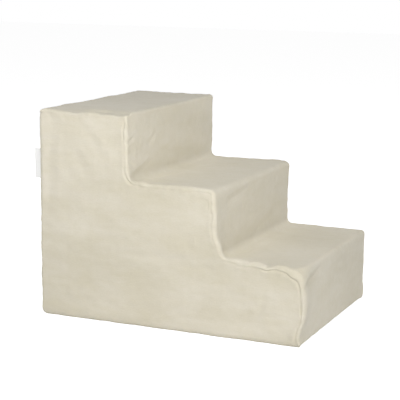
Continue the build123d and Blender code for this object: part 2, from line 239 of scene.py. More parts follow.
middle_start, middle_count, roll_count = 0.032, 88, 7
zip_z = (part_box("zip_teeth_lower")[0][2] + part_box("zip_teeth_upper")[1][2]) / 2
zip_calm_low, zip_calm_high, zip_calm_share, zip_calm_depth = 0.016, 0.034, 0.85, 0.0012
plush_colour, sheen_tint = (0.782, 0.734, 0.602), (1.0, 0.97, 0.90, 1)
plush_gloss = {
    "Sheen Weight": 0.35,
    "Sheen Roughness": 0.55,
    "Sheen Tint": sheen_tint,
    "Specular IOR Level": 0.15,
}
# The plush's tone against height above the floor, on the walls and on the treads and the top, and how much
# painted shade darkens it in the corner at a riser's foot
wall_levels, wall_tones = [0.0, 0.15, 0.30, 0.44], [0.905, 0.925, 0.965, 0.99]
tread_levels, tread_tones = [tread_low_z, tread_middle_z, top_z], [1.06, 1.035, 0.935]
painted_corner_shade, painted_shade_reach = 0.06, 0.022

# How far the left edge stands out in the photograph, in mm, against x - z along the steps, and
# how deep its seam lies there as a share of the usual groove
left_edge_places = [-755, -715, -694, -668, -646, -622, -598, -578, -562, -553, -541, -525, -502, -480,
                    -457, -434, -419, -400, -385, -366, -343, -298, -248, -219, -204, -189, -158, -140,
                    -120, -96, -76, -60, -38, -21, -4, 6, 20, 39, 50, 63, 73, 84, 99, 118, 134, 142, 172,
                    210, 242, 264, 300]
left_edge_stands = [0, -1, -2.4, -6, -2.4, -2, -4.4, -4.6, -6.5, -5, -3.5, -2.5, -2.5, -1.2, -3, -1.3, 0.4,
                    1, 2, 7, 1.6, 2.8, 4, 2.3, 0.5, 1.5, 3.8, 4, 4.8, 6.5, 9, 4, 0, 6, 9.5, 9, 7, 8, 6.3,
                    1.5, 2.5, 6.3, 6.3, 1, 0, 1, 8.6, 12, 9, 0, -7]
seam_depth_places = [-755, -560, -520, -390, -300, -200, -60, -20, 40, 120, 200, 300]
seam_depth_shares = [0.04, 0.06, 0.55, 0.4, 0.08, 0.28, 0.1, 0.2, 0.3, 0.4, 0.6, 0.55]

# Height, wavelength and seed of the seam's wander and of the plush's slow waves and tufts
seam_waves = ((0.0011, 0.045, 31), (0.0008, 0.018, 32))
plush_waves = ((0.0005, 0.150, 3), (0.0004, 0.055, 5), (0.00025, 0.020, 8))
# Scale, detail, darkest share and weight of the patches and streaks in the pile
pile_patches = ((7, 2, 0.88, 0.6), (20, 3, 0.94, 0.5), (60, 3, 0.95, 0.35), (420, 2, 0.86, 0.22))
dark_tint, light_tint, patch_edges = (1, 0.99, 0.955), (1, 1, 1.02), (0.36, 0.62)


def soft_noise(points, wavelength, seed, waves=28):
    """A smooth random field: a sum of cosine waves of about one length in seeded directions."""
    draw = np.random.default_rng(seed)
    direction = draw.normal(size=(waves, 3))
    direction /= np.linalg.norm(direction, axis=1)[:, None]
    number = 2 * math.pi / (wavelength * draw.uniform(0.65, 1.5, waves))
    phase = draw.uniform(0, 2 * math.pi, waves)
    field = np.zeros(points.shape[:-1])
    for way, k, shift in zip(direction, number, phase):
        field += np.cos(points @ way * k + shift)
    return field * math.sqrt(2 / waves) / 1.5


def noise_sum(points, parts):
    """The sum of several fields, each given by its height, wavelength and seed."""
    return sum(height * soft_noise(points, length, seed) for height, length, seed in parts)


def bell(distance, width):
    """A bell curve: e to the power of minus the square of the distance over the width."""
    return np.exp(-((distance / width) ** 2))


def joined(x, y, z):
    """Points from arrays of x, y and z, each spread out to the shape of all three."""
    return np.stack(np.broadcast_arrays(x, y, z), axis=-1)


def side_by_side(count, *parts):
    """Parts joined into one grid of count rows, where a plain row is repeated in every one."""
    return np.concatenate([np.broadcast_to(part, (count, np.shape(part)[-1])) for part in parts], axis=1)


def rounded_path(corners, radii, counts, arc_count):
    """Points and outward normals along straight runs of so many points each, joined by tangent
    arcs. Outward is the left of the way of travel."""
    corners = np.array(corners, float)
    points, normals = [], []
    begin = corners[0]
    for k in range(1, len(corners)):
        way = corners[k] - corners[k - 1]
        way /= np.linalg.norm(way)
        last = k == len(corners) - 1
        end = corners[k] - (0 if last else way * radii[k - 1])
        share = np.linspace(0, 1, counts[k - 1], endpoint=last)[:, None]
        points.append(begin + share * (end - begin))
        normals.append(np.repeat([[-way[1], way[0]]], counts[k - 1], axis=0))
        if last:
            break
        onward = corners[k + 1] - corners[k]
        onward /= np.linalg.norm(onward)
        turn = math.copysign(1, way[0] * onward[1] - way[1] * onward[0])
        side = np.array([-way[1], way[0]]) * turn
        angle = np.linspace(0, math.pi / 2, arc_count, endpoint=False)[:, None]
        spoke = -side * np.cos(angle) + way * np.sin(angle)
        points.append(end + radii[k - 1] * (side + spoke))
        normals.append(spoke * -turn)
        begin = corners[k] + onward * radii[k - 1]
    return np.concatenate(points), np.concatenate(normals)


def stair_corners(insets, start_x, bottom_z):
    """Corners of the stepped top line from the back to the front's foot, with its top, risers,
    treads and front each drawn in by its own inset."""
    top, riser_top, tread_middle, riser_low, tread_low, front = np.broadcast_to(insets, 6)
    return [
        (start_x, top_z - top),
        (riser_top_x - riser_top, top_z - top),
        (riser_top_x - riser_top, tread_middle_z - tread_middle),
        (riser_low_x - riser_low, tread_middle_z - tread_middle),
        (riser_low_x - riser_low, tread_low_z - tread_low),
        (front_x - front, tread_low_z - tread_low),
        (front_x - front, bottom_z),
    ]


def smooth_step(value, low, high):
    """0 below low, 1 above high and a smooth cubic rise between them."""
    share = np.clip((value - low) / (high - low), 0, 1)
    return share * share * (3 - 2 * share)


def calm_ends(line):
    """0 at the back seam and at the floor, and 1 away from both."""
    return smooth_step(line[:, 0], back_x, back_x + end_calm) * smooth_step(line[:, 1], 0, foot_calm)


def left_edge_stand(line):
    """How far the left edge stands out at each point of a line, from the photograph's table."""
    return 0.001 * np.interp(1000 * (line[:, 0] - line[:, 1]), left_edge_places, left_edge_stands)


def seam_line(side, start_x, bottom_z, counts, arc_count):
    """The seam of a side on its flat side face: straight runs with round corners, which wander a
    little as sewn seams do. On the left, it also follows most of what the edge does."""
    insets, radii = (left_seam_insets, left_seam_radii) if side < 0 else (seam_inset, right_seam_radii)
    line, normal = rounded_path(stair_corners(insets, start_x, bottom_z), radii, counts, arc_count)
    stand = edge_follow * left_edge_stand(line) if side < 0 else 0
    wander = noise_sum(joined(line[:, 0], 0.1 * side, line[:, 1]), seam_waves)
    return line + normal * ((stand + wander) * calm_ends(line))[:, None]


def seam_roll(distance, points, ridge=1.0):
    """Where a seam is open, both plushes swell in a ridge beside it, dive into it in a groove
    and pucker between its stitches. Where the pile hides it, one low roll lies over it."""
    share = np.interp(1000 * (points[..., 0] - points[..., 2]), seam_depth_places, seam_depth_shares)
    share = share * np.clip(1 + 0.5 * soft_noise(points, *share_wave), *share_limits)
    beside = bell(distance - ridge_place, ridge_spread)
    over = low_roll * bell(distance, ridge_place + ridge_spread)
    swell = ridge * ridge_height * (over + np.minimum(share, 1) * (beside - over))
    pucker = share * pucker_heights[0] * soft_noise(points, pucker_lengths[0], 43)
    pucker = pucker + pucker_heights[1] * soft_noise(points, pucker_lengths[1], 44)
    pucker = pucker * bell(distance, pucker_reach)
    return swell + pucker - share * groove_depth * bell(distance, groove_spread)


def round_back(points):
    """Points beyond the rounded back edge of the top are drawn in to its arc."""
    centre = np.array([back_x + back_radius, top_z - back_radius])
    way = points[..., ::2] - centre
    length = np.linalg.norm(way, axis=-1)
    beyond = (way[..., 0] < 0) & (way[..., 1] > 0) & (length > back_radius)
    share = np.where(beyond, back_radius / np.maximum(length, 1e-9), 1)
    moved = centre + way * share[..., None]
    return np.stack([moved[..., 0], points[..., 1], moved[..., 1]], axis=-1)


# How far a crease's line bends, over what length and how far above it its ridge stands, as shares
# of its width, the ridge's height as a share of its depth, and how thick a layer it reaches
crease_bend, crease_bend_run, crease_ridge_place = 0.12, 1.3, 1.7
crease_ridge, crease_layer = 0.45, 0.02
# Creases that the photograph shows: centre, way along, way across, half length, width, depth
creases = [
    ((-0.010, -0.225, 0.1570), (1, 0, -0.02), (0, 0, 1), 0.085, 0.0075, 0.0016),
    ((0.060, -0.225, 0.1440), (1, 0, -0.10), (0, 0, 1), 0.045, 0.0060, 0.0010),
    ((-0.190, -0.225, 0.3300), (0.5, 0, -1), (1, 0, 0.5), 0.050, 0.0120, 0.0008),
    ((0.215, -0.225, 0.0800), (0.3, 0, 1), (1, 0, -0.3), 0.035, 0.0080, 0.0008),
    ((0.082, -0.225, 0.2860), (1, 0, -0.06), (0, 0, 1), 0.012, 0.0022, 0.0010),
    ((0.096, -0.225, 0.2780), (0, 0, 1), (1, 0, 0), 0.008, 0.0022, 0.0009),
    ((-0.086, -0.170, 0.3250), (0, 1, 0.25), (0, -0.25, 1), 0.050, 0.0085, 0.0016),
    ((-0.086, -0.020, 0.3500), (0, 1, -0.15), (0, 0.15, 1), 0.060, 0.0090, 0.0013),
    ((0.110, -0.100, 0.2800), (0, 1, 0.10), (0, -0.10, 1), 0.070, 0.0080, 0.0017),
    ((0.110, -0.190, 0.2300), (0, 0.35, 1), (0, 1, -0.35), 0.035, 0.0060, 0.0013),
    ((0.110, 0.060, 0.1900), (0, 1, 0.20), (0, -0.20, 1), 0.060, 0.0100, 0.0012),
    ((0.300, -0.165, 0.1330), (0, 1, 0.12), (0, -0.12, 1), 0.060, 0.0080, 0.0046),
    ((0.300, 0.050, 0.1240), (0, 1, -0.06), (0, 0.06, 1), 0.060, 0.0095, 0.0015),
    ((0.300, -0.195, 0.0700), (0, 0.2, 1), (0, 1, -0.2), 0.030, 0.0070, 0.0012),
    ((-0.272, -0.225, 0.3300), (0.03, 0, 1), (1, 0, -0.03), 0.100, 0.0120, 0.0012),
    ((-0.165, -0.225, 0.3850), (0.55, 0, -0.8), (0.8, 0, 0.55), 0.050, 0.0100, 0.0012),
    ((-0.165, -0.208, 0.4550), (1, 0.10, 0), (-0.10, 1, 0), 0.034, 0.0075, 0.0028),
    ((-0.108, -0.203, 0.4550), (1, -0.3, 0), (0.3, 1, 0), 0.018, 0.0065, 0.0022),
    ((-0.086, -0.212, 0.3950), (0, 1, 0.35), (0, -0.35, 1), 0.013, 0.0050, 0.0020),
    ((-0.086, -0.205, 0.3450), (0, 1, -0.45), (0, 0.45, 1), 0.016, 0.0060, 0.0020),
    ((-0.086, -0.110, 0.3900), (0, 1, 0.60), (0, -0.60, 1), 0.022, 0.0070, 0.0014),
    ((0.110, -0.206, 0.2260), (0, 0.12, 1), (0, 1, -0.12), 0.030, 0.0060, 0.0026),
    ((0.110, -0.190, 0.1950), (0, 0.5, 1), (0, 1, -0.5), 0.022, 0.0060, 0.0016),
    ((0.300, -0.212, 0.1350), (0, 1, 0.8), (0, -0.8, 1), 0.010, 0.0035, 0.0016),
    ((-0.060, -0.120, 0.3090), (0.1, 1, 0), (1, -0.1, 0), 0.080, 0.0100, 0.0015),
    ((0.140, -0.080, 0.1620), (0.1, 1, 0), (1, -0.1, 0), 0.090, 0.0100, 0.0016),
    ((0.200, -0.140, 0.1620), (1, 0.3, 0), (-0.3, 1, 0), 0.050, 0.0120, 0.0012),
]


def plush_relief(points, normals):
    """How far the plush stands off its pattern: slow waves, small tufts, creases, each a valley
    with a ridge above it on a slightly bent line, and low-lying pile beside the zip."""
    height = noise_sum(points, plush_waves)
    for centre, along, across, half_length, width, depth in creases:
        along = np.array(along) / np.linalg.norm(along)
        across = np.array(across) / np.linalg.norm(across)
        away = points - np.array(centre)
        facing = np.cross(along, across)
        side = np.abs(normals @ facing)
        run, reach = away @ along, away @ across
        reach = reach + crease_bend * width * np.sin(run / (crease_bend_run * width))
        near = np.exp(-((run / half_length) ** 4)) * bell(away @ facing, crease_layer) * side
        ridge = crease_ridge * bell(reach - crease_ridge_place * width, width)
        height -= depth * near * (bell(reach, width) - ridge)
    level = np.abs(points[..., 2] - zip_z)
    calm = 1 - smooth_step(level, zip_calm_low, zip_calm_high)
    calm = calm * np.clip(-normals[..., 0], 0, 1)
    return height * (1 - zip_calm_share * calm) - zip_calm_depth * calm


def plush_tone_and_painted_shade(points, normals):
    """Share of the plush's colour: darker towards the floor on the walls, lighter on the treads than on
    the top, and with painted shade in the corners at the risers' feet."""
    level, up = points[..., 2], np.clip(normals[..., 2], 0, 1)
    wall = np.interp(level, wall_levels, wall_tones)
    flat = np.interp(level, tread_levels, tread_tones)
    tone = wall + up**2 * (flat - wall)
    # Painted shade: darker in the corners at the risers' feet
    for x, z in ((riser_top_x, tread_middle_z), (riser_low_x, tread_low_z)):
        away = np.hypot(points[..., 0] - x, level - z)
        tone = tone - painted_corner_shade * bell(away, painted_shade_reach) * (1 - normals[..., 1] ** 2)
    return tone


def grid_normals(points, outward):
    """Unit normals of a grid from its neighbours' differences, turned to the side of outward."""
    normal = np.cross(np.gradient(points, axis=0), np.gradient(points, axis=1))
    normal /= np.maximum(np.linalg.norm(normal, axis=-1, keepdims=True), 1e-12)
    flip = np.sign((normal * outward).sum(axis=-1, keepdims=True))
    return normal * np.where(flip == 0, 1, flip)


def closed_panel(outer, inner):
    """Faces of a panel swept along rows: each row's outer and inner points make a closed ring,
    and the first and last rings are closed by one face each. Returns points and faces."""
    points = np.concatenate([outer, inner[:, ::-1]], axis=1)
    index = numbered(points)
    faces = quads(np.concatenate([index, index[:, :1]], axis=1)).tolist()
    return points, faces + [index[0].tolist(), index[-1].tolist()]


def multiplied(nodes, links, colour, factor, weight):
    """A colour, as a value or a socket, times the factor's socket, mixed in by weight."""
    mix = nodes.new("ShaderNodeMix")
    mix.data_type, mix.blend_type = "RGBA", "MULTIPLY"
    mix.inputs["Factor"].default_value = weight
    if isinstance(colour, tuple):
        mix.inputs[6].default_value = colour
    else:
        links.new(colour, mix.inputs[6])
    links.new(factor, mix.inputs[7])
    return mix.outputs[2]


def plush_material():
    """Short cream plush: strokes that lay the pile over darken it in soft patches, tufts
    dent it, and the pile's tips catch the light in a sheen."""
    material, shader, nodes, links = new_material("short_pile_plush", plush_colour, roughness=0.92)
    for name, value in plush_gloss.items():
        shader.inputs[name].default_value = value
    place, along = add_node(nodes, "TexCoord"), add_node(nodes, "Mapping", Scale=(0.5, 0.5, 1.3))
    links.new(place.outputs["Object"], along.inputs["Vector"])
    colour = (*plush_colour, 1)
    for scale, detail, dark, weight in pile_patches:
        noise = add_node(nodes, "TexNoise", Scale=scale, Detail=detail, Distortion=0.6)
        links.new(along.outputs["Vector"], noise.inputs["Vector"])
        ramp = add_node(nodes, "ValToRGB")
        low, high = ramp.color_ramp.elements
        low.position, high.position = patch_edges
        low.color, high.color = (*(dark * c for c in dark_tint), 1), (*light_tint, 1)
        links.new(noise.outputs["Fac"], ramp.inputs["Fac"])
        colour = multiplied(nodes, links, colour, ramp.outputs["Color"], weight)
    # Tone from the point attribute, with painted shade in the corners at the risers' feet
    tone_with_painted_shade = add_node(nodes, "Attribute")
    tone_with_painted_shade.attribute_name = "plush_tone_and_painted_shade"
    colour = multiplied(nodes, links, colour, tone_with_painted_shade.outputs["Fac"], 1)
    links.new(colour, shader.inputs["Base Color"])
    tufts = add_node(nodes, "TexNoise", Scale=330, Detail=3)
    links.new(place.outputs["Object"], tufts.inputs["Vector"])
    bump = add_node(nodes, "Bump", Strength=0.35, Distance=0.0012)
    links.new(tufts.outputs["Fac"], bump.inputs["Height"])
    links.new(bump.outputs["Normal"], shader.inputs["Normal"])
    return material


def strip_stations():
    """The strip's outline, its left edge's outline and both seams, station by station, from the
    back seam over the steps to the base, with the outward normals of the outline."""
    start = back_x + back_radius
    corners = stair_corners(0, start, floor_radius)
    line, normal = rounded_path(corners, outline_radii, strip_counts, strip_arc_count)
    left, left_normal = rounded_path(corners, left_edge_radii, strip_counts, strip_arc_count)
    left = left + left_normal * (left_edge_stand(left) * calm_ends(left))[:, None]
    over_top = math.asin(1 - seam_inset / back_radius)
    centre = np.array([start, top_z - back_radius])
    over_back = arc_points(centre, back_radius, math.pi - over_top, math.pi / 2, 14)[:-1]
    foot_centre = (front_x - floor_radius, floor_radius)
    under_front = arc_points(foot_centre, floor_radius, 0, -math.pi / 2, 10)[1:]
    foot = np.concatenate([under_front, [[front_x - floor_radius - foot_overlap, 0.0]]])
    back_normals = (over_back - centre) / back_radius
    foot_normals = (under_front - foot_centre) / floor_radius
    seams = []
    for side in (-1, 1):
        seam = seam_line(side, start, floor_radius, strip_counts, strip_arc_count)
        back_seam = np.linspace((over_back[0, 0], seam[0, 1]), seam[0], len(over_back) + 1)[:-1]
        foot_seam = np.stack([np.minimum(seam[-1, 0], foot[:, 0] - 0.001), foot[:, 1]], axis=1)
        seams.append(np.concatenate([back_seam, seam, foot_seam]))
    outlines = [np.concatenate([over_back, middle, foot]) for middle in (line, left)]
    return *outlines, np.concatenate([back_normals, normal, foot_normals, [[0, -1]]]), seams


line, left_line, line_normal, (left_seam, right_seam) = strip_stations()
stations = len(line)
plush_finish = plush_material()


def strip_surface():
    """Across each station: up the side band from the seam, round the edge, over to the other
    side and down again. The band's direction is that from the outline's edge to the seam. Returns
    the outer and the inner surface and each outer point's distance to the nearer seam."""
    fold = np.maximum(edge_radius - line[:, 1], 0)
    half = half_width - (edge_radius - np.sqrt(np.maximum(edge_radius**2 - fold**2, 0)))
    flat_run = half_width - roll_radius
    middle = np.linspace(-flat_run + middle_start, flat_run - middle_start, middle_count)
    across = np.concatenate([-flat_run + edge_steps, middle, flat_run - edge_steps[::-1]])
    rounds = np.linspace(0, math.pi / 2, roll_count)
    sides, hidden = [], []
    for sign, edge, seam in ((-1, left_line, left_seam), (1, line, right_seam)):
        way = seam - edge
        reach = np.linalg.norm(way, axis=1)[:, None]
        way = (way / reach)[:, None]
        turn = np.minimum(roll_radius, roll_share * reach)
        drop = side_by_side(stations, reach - band_shares * (reach - turn), turn * (1 - np.sin(rounds)))
        inward = side_by_side(stations, np.zeros(len(band_shares)), turn * (1 - np.cos(rounds)))
        spot = edge[:, None] + way * drop[..., None]
        sides.append(joined(spot[..., 0], sign * (half[:, None] - inward), spot[..., 1]))
        sewn, folded = np.maximum(reach - seam_hem, least_band), np.minimum(plush_depth, 0.8 * reach)
        drop = side_by_side(stations, sewn, folded)
        spot = edge[:, None] + way * drop[..., None]
        hidden.append(joined(spot[..., 0], sign * (half - plush_depth)[:, None], spot[..., 1]))
    reach = edge_reach + (tread_reach - edge_reach) * np.abs(line_normal[:, 1:])
    share = smooth_step(-across, flat_run - reach, flat_run) ** 1.5
    spot = line[:, None] + share[..., None] * (left_line - line)[:, None]
    body = joined(spot[..., 0], across * (half / half_width)[:, None], spot[..., 1])
    outer = np.concatenate([sides[0], body[:, 1:-1], sides[1][:, ::-1]], axis=1)
    gap = np.linalg.norm(np.diff(outer, axis=1), axis=-1)
    from_left = side_by_side(stations, [0.0], gap.cumsum(axis=1))
    from_right = side_by_side(stations, [0.0], gap[:, ::-1].cumsum(axis=1))[:, ::-1]
    inside = line - line_normal * plush_depth
    inside = joined(inside[:, :1], np.linspace(-0.2, 0.2, 4), inside[:, 1:])
    inner = np.concatenate([hidden[0], inside, hidden[1][:, ::-1]], axis=1)
    return outer, inner, np.minimum(from_left, from_right)


strip_outer, strip_inner, strip_seam_distance = strip_surface()
across = strip_outer[..., 1]
sideways = smooth_step(np.abs(across), half_width - 0.004, half_width) * np.sign(across)
outward = joined(line_normal[:, :1], 2.0 * sideways, line_normal[:, 1:])
strip_normals = grid_normals(strip_outer, outward)
travel = np.linalg.norm(np.diff(line, axis=0, prepend=line[:1]), axis=1).cumsum()
strip_height = plush_relief(strip_outer, strip_normals) + seam_roll(strip_seam_distance, strip_outer)
strip_height += seam_roll(travel[:, None], strip_outer, 0.5)
strip_height += seam_roll((travel[-1] - travel)[:, None], strip_outer, 0.0)
strip_outer = strip_outer + strip_normals * strip_height[..., None]
strip_outer[..., 2] = np.maximum(strip_outer[..., 2], 0)
points, faces = closed_panel(strip_outer, strip_inner)
tones = np.ones(points.shape[:2])
tones[:, : strip_outer.shape[1]] = plush_tone_and_painted_shade(strip_outer, strip_normals)
strip = make_piece("plush_strip", points, faces, plush_finish, tones=tones)
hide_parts("step_strip")


# Side panels: plush cut to the stepped side, sewn to the strip 8 mm inside the edge. They turn
# round the back edge and the base edge, where they are sewn to the back and the base fabric.
back_wrap = half_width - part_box("back_panel_upper")[1][1]
base_wrap = half_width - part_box("base_panel")[1][1]
fold_x, fold_z = back_x + edge_radius, edge_radius
quarter = edge_radius * math.pi / 2
wrap_left = fold_x - quarter - (back_wrap - edge_radius)
wrap_bottom = fold_z - quarter - (base_wrap - edge_radius)
chain_count, deep_rows, side_counts, side_arc_count = 330, 40, [60] * 6, 12
focus_pull, focus_spread = 2.5, 0.012
spine_smoothing = 41
corner_cut, corner_round = 0.012, 0.0035
# The spine's way through the side, as shares of its own length, the stairs' length and height
spine_share = [0.0, 0.2, 0.34, 0.43, 0.6, 0.67, 0.84, 1.0]
spine_x_share = [0.10, 0.165, 0.185, 0.27, 0.485, 0.57, 0.82, 0.895]
spine_z_share = [0.83, 0.73, 0.44, 0.34, 0.24, 0.187, 0.165, 0.12]


def even_stations(line, count, focus=()):
    """count points along a line, closer together near the points in focus."""
    runs = [np.linspace(a, b, 40, endpoint=False) for a, b in zip(line[:-1], line[1:])]
    dense = np.concatenate([*runs, line[-1:]])
    gap = np.linalg.norm(np.diff(dense, axis=0), axis=1)
    weight = np.ones(len(gap))
    for spot in focus:
        weight += focus_pull * bell(np.linalg.norm(dense[1:] - spot, axis=1), focus_spread)
    place = np.concatenate([[0], (gap * weight).cumsum()])
    wanted = np.linspace(0, place[-1], count)
    return np.stack([np.interp(wanted, place, dense[:, axis]) for axis in (0, 1)], axis=1)


def wrap_side(flat):
    """Takes a point of the flat pattern to the side, round its edge and on along back or base.
    Past the fold line an arc of the edge radius turns it, and then it runs on inwards."""
    corner = floor_radius - edge_radius
    reach = np.stack([fold_x + corner - flat[..., 0], fold_z + corner - flat[..., 1]], axis=-1)
    outside = np.maximum(reach, 0)
    length = np.linalg.norm(outside, axis=-1)
    both = (reach > 0).all(axis=-1)
    over = np.where(both, length, reach.max(axis=-1)) - corner
    slanting = outside / np.maximum(length, 1e-9)[..., None]
    straight = (reach == reach.max(axis=-1, keepdims=True)).astype(float)
    way = np.where(both[..., None], slanting, straight)
    past = np.maximum(over, 0)
    angle = np.minimum(past / edge_radius, math.pi / 2)
    run = np.maximum(past - quarter, 0)
    spot = flat + way * past[..., None] - way * (edge_radius * np.sin(angle))[..., None]
    depth = edge_radius * (1 - np.cos(angle)) + run
    points = joined(spot[..., 0], depth - half_width, spot[..., 1])
    turned = np.sin(angle)
    return points, joined(-way[..., 0] * turned, -np.cos(angle), -way[..., 1] * turned)


def distance_to(points, line):
    """Each point's distance to the nearest point of a line, worked out in blocks of points."""
    found = []
    for block in np.array_split(points.reshape(-1, 2), 60):
        found.append(np.sqrt(((block[:, None] - line) ** 2).sum(axis=-1).min(axis=1)))
    return np.concatenate(found).reshape(points.shape[:-1])


def side_spine():
    """The line inside the pattern to which the rays run: the table's points, joined smoothly by a
    sliding average."""
    share = np.linspace(0, 1, chain_count)
    x = back_x + (front_x - back_x) * np.interp(share, spine_share, spine_x_share)
    z = top_z * np.interp(share, spine_share, spine_z_share)
    kernel = np.hanning(spine_smoothing) / np.hanning(spine_smoothing).sum()
    padded = [np.pad(values, spine_smoothing // 2, mode="edge") for values in (x, z)]
    return np.stack([np.convolve(values, kernel, mode="valid") for values in padded], axis=1)


def side_piece(name, node, sign):
    """Rays from every station of the pattern's edge to a spine inside it carry the surface,
    which the seam's roll and the plush's relief then move, and a plain back closes it."""
    focus = [np.array(c) for c in stair_corners(seam_inset, wrap_left, wrap_bottom)[1:-1]]
    upper = seam_line(sign, wrap_left, wrap_bottom, side_counts, side_arc_count)
    upper = even_stations(upper, chain_count, focus)
    (left, top), (right, bottom) = upper[0], upper[-1]
    corner = [
        (left, bottom + corner_cut),
        (left + corner_round, bottom + corner_round),
        (left + corner_cut, bottom),
    ]
    lower = even_stations(np.array([(left, top), *corner, (right, bottom)]), chain_count)
    spine = side_spine()
    edge = np.concatenate([upper, lower[-2:0:-1]])
    ray = np.concatenate([spine, spine[-2:0:-1]]) - edge
    length = np.linalg.norm(ray, axis=1)[:, None]
    ray = (ray / length)[:, None]
    deep = np.linspace(0, 1, deep_rows + 1)[1:]
    steps = side_by_side(len(edge), fine_steps, fine_steps[-1] + deep * (length - fine_steps[-1]))
    flat = edge[:, None] + ray * steps[..., None]
    points, normals = wrap_side(flat)
    mirror = np.array([1, -sign, 1])
    points, normals = points * mirror, normals * mirror
    seam = np.concatenate([even_stations(edge[k : k + 2], 3)[:-1] for k in range(len(edge) - 1)])
    height = plush_relief(points, normals) + seam_roll(distance_to(flat, seam), points, 0.6)
    outer = round_back(points + normals * height[..., None])
    outer[..., 2] = np.maximum(outer[..., 2], 0)
    steps = side_by_side(len(edge), [seam_hem, 0.014], [0.5, 1.0] * length)
    inner_points, inner_normals = wrap_side(edge[:, None] + ray * steps[..., None])
    inner = (inner_points - inner_normals * plush_depth) * mirror
    rows = np.concatenate([outer[:, ::-1], inner], axis=1)
    tones = plush_tone_and_painted_shade(rows, np.concatenate([normals[:, ::-1], inner_normals], axis=1))
    piece = make_piece(name, rows, ring_faces(rows), plush_finish, merge=2e-6, tones=tones)
    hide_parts(node)


side_piece("plush_side_left", "side_panel_left", -1)
side_piece("plush_side_right", "side_panel_right", 1)


# Back panels: plush above and below the zip, with the slit's edges folded in on the tapes. The
# lower one turns under the back edge to the base fabric.
slit_half_length, slit_half_height = 0.201, 0.0064
fold_thickness, fold_hem, fold_reach, fold_taper = 0.0019, 0.0003, 0.010, 0.006
# Depth and width of the fold's two dives, and the half opening at which the seam has become a fold
slit_dives, slit_calm = ((0.0010, 0.0015), (0.0002, 0.004)), 0.003
# How deep the folded edge's inner surface lies at each of its distances from the slit
fold_depths = np.array([fold_thickness, fold_thickness, plush_depth])
fold_levels = np.array([fold_hem, fold_reach, fold_reach + fold_taper])
back_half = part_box("back_panel_upper")[1][1]
base_edge_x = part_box("base_panel")[0][0] - 0.0002


def slit_edge(y):
    """Half the slit's opening at y: straight, with half-round ends."""
    end = np.clip(np.abs(y) - (slit_half_length - slit_half_height), 0, slit_half_height)
    return np.sqrt(np.maximum(slit_half_height**2 - end**2, 0))


def back_columns():
    """Places across the back, close together at both seams and at the slit's round ends."""
    turn = np.linspace(0, math.pi / 2, 9)
    ends = slit_half_length - slit_half_height + slit_half_height * np.sin(turn)
    middle = np.linspace(0, ends[0] - 0.004, 46)
    right = np.unique(np.round(np.concatenate([middle, ends, back_half - fine_steps[:10]]), 6))
    return np.unique(np.concatenate([-right, right]))


def back_surface(path_of, name, node):
    """Carries a line that path_of gives for each place across the back, with its normals."""
    outer, normals, edge_gap, inner = path_of(back_columns()[:, None])
    height = plush_relief(outer, normals)
    height += seam_roll(back_half - np.abs(outer[..., 1]), outer) + edge_gap
    outer = round_back(outer + normals * height[..., None])
    outer[..., 2] = np.maximum(outer[..., 2], 0)
    points, faces = closed_panel(outer, inner)
    tones = np.interp(points[..., 2], wall_levels, wall_tones)
    piece = make_piece(name, points, faces, plush_finish, tones=tones)
    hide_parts(node)


def slit_fold(gap, points, y):
    """The folded edge beside the slit dives to the tape within 3 mm; past its ends it is a seam."""
    open_share = smooth_step(slit_edge(y), 0, slit_calm)
    dive = -sum(depth * bell(gap, width) for depth, width in slit_dives)
    return dive * open_share + seam_roll(gap, points, 0.0) * (1 - open_share)


def upper_path(y):
    """Straight up the back from the slit's upper edge to the seam with the strip."""
    low = zip_z + slit_edge(y)
    span = top_z - seam_inset - low
    middle = fine_steps[-1] + np.linspace(0, 1, 76)[1:-1] * (span - 2 * fine_steps[-1])
    step = side_by_side(len(y), fine_steps, middle, span - fine_steps[::-1])
    points = joined(back_x, y, low + step)
    normals = np.broadcast_to([-1.0, 0, 0], points.shape)
    gap = slit_fold(step, points, y) + seam_roll(span - step, points)
    level = side_by_side(len(y), fold_levels, [0.200], span - seam_hem)
    depth = np.array([*fold_depths, plush_depth, plush_depth])
    return points, normals, gap, joined(back_x + depth, y, low + level)


def lower_path(y):
    """Down the back from the slit's lower edge, round the foot and under to the base fabric."""
    low = zip_z - slit_edge(y)
    middle = fine_steps[-1] + np.linspace(0, 1, 9)[1:] * (low - floor_radius - fine_steps[-1])
    step = side_by_side(len(y), fine_steps, middle)
    wall = joined(back_x, y, low - step)
    turn = np.linspace(0, math.pi / 2, 9)[1:]
    arc = joined(back_x + floor_radius * (1 - np.cos(turn)), y, floor_radius * (1 - np.sin(turn)))
    points = np.concatenate([wall, arc, joined(base_edge_x, y, 0)], axis=1)
    wall_normals = np.repeat([[-1.0, 0, 0]], step.shape[1], axis=0)
    normals = np.concatenate([wall_normals, joined(-np.cos(turn), 0, -np.sin(turn)), [[0, 0, -1.0]]])
    gap = side_by_side(len(y), slit_fold(step, wall, y), np.zeros(len(turn) + 1))
    corner, angle = floor_radius - plush_depth, np.linspace(0, math.pi / 2, 3)
    inner_arc_x = back_x + floor_radius - corner * np.cos(angle)
    inner = [
        joined(back_x + fold_depths, y, low - fold_levels),
        joined(inner_arc_x, y, floor_radius - corner * np.sin(angle)),
        joined(base_edge_x, y, plush_depth),
    ]
    return points, np.broadcast_to(normals, points.shape), gap, np.concatenate(inner, axis=1)


back_surface(upper_path, "plush_back_upper", "back_panel_upper")
back_surface(lower_path, "plush_back_lower", "back_panel_lower")


# Base fabric: a flat non-slip cloth, sewn all round to the plush that turns under the foam.
# Small round rubbery dots are printed on it in staggered rows, and they touch the floor.
base_low, base_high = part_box("base_panel")
base_rim_rise, base_rim_reach = 0.0006, 0.0015
dot_pitch, dot_radius, dot_height, dot_corners = 0.014, 0.0022, 0.0006, 8
# Each ring of a dot, from its root to its top: share of its radius, height above the floor
dot_rings = [(1.0, dot_height + 0.0001), (0.85, 0.25 * dot_height), (0.45, 0.0)]
base_colour = (0.38, 0.35, 0.30)
dot_colour = (0.16, 0.15, 0.135)


